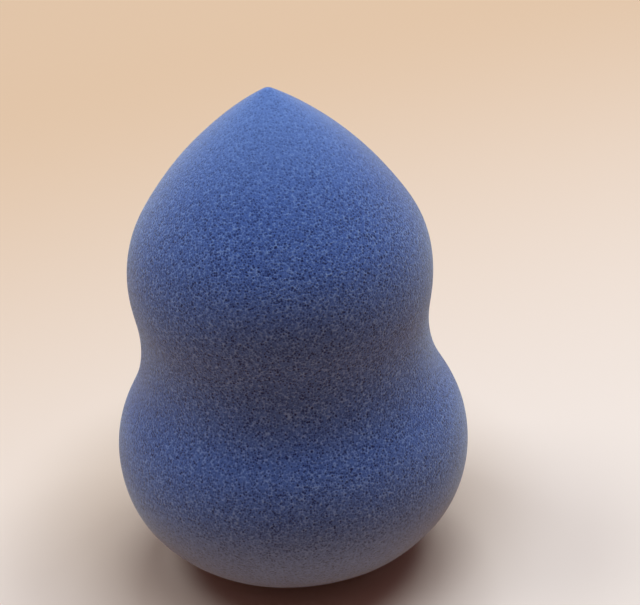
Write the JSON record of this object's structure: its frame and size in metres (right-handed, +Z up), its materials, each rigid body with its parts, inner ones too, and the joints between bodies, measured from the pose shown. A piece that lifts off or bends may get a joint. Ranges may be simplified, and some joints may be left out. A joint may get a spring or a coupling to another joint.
{
  "type": "makeup sponge",
  "caption": "Gourd-shaped soft foam sponge with a pointed tip, a shallow waist and a wide rounded base, for dabbing and blending make-up.",
  "frame": {"origin": "centre of the flat foot, on the surface that the sponge stands on", "axes": "+Z up along the axis of revolution, from the foot to the tip; the shape is the same all round, so +X and +Y are free"},
  "size_m": [0.042, 0.042, 0.06],
  "materials": {
    "blue_foam": "matte"
  },
  "bodies": {
    "root": {"foam_body": "blue_foam"}
  },
  "joints": []
}
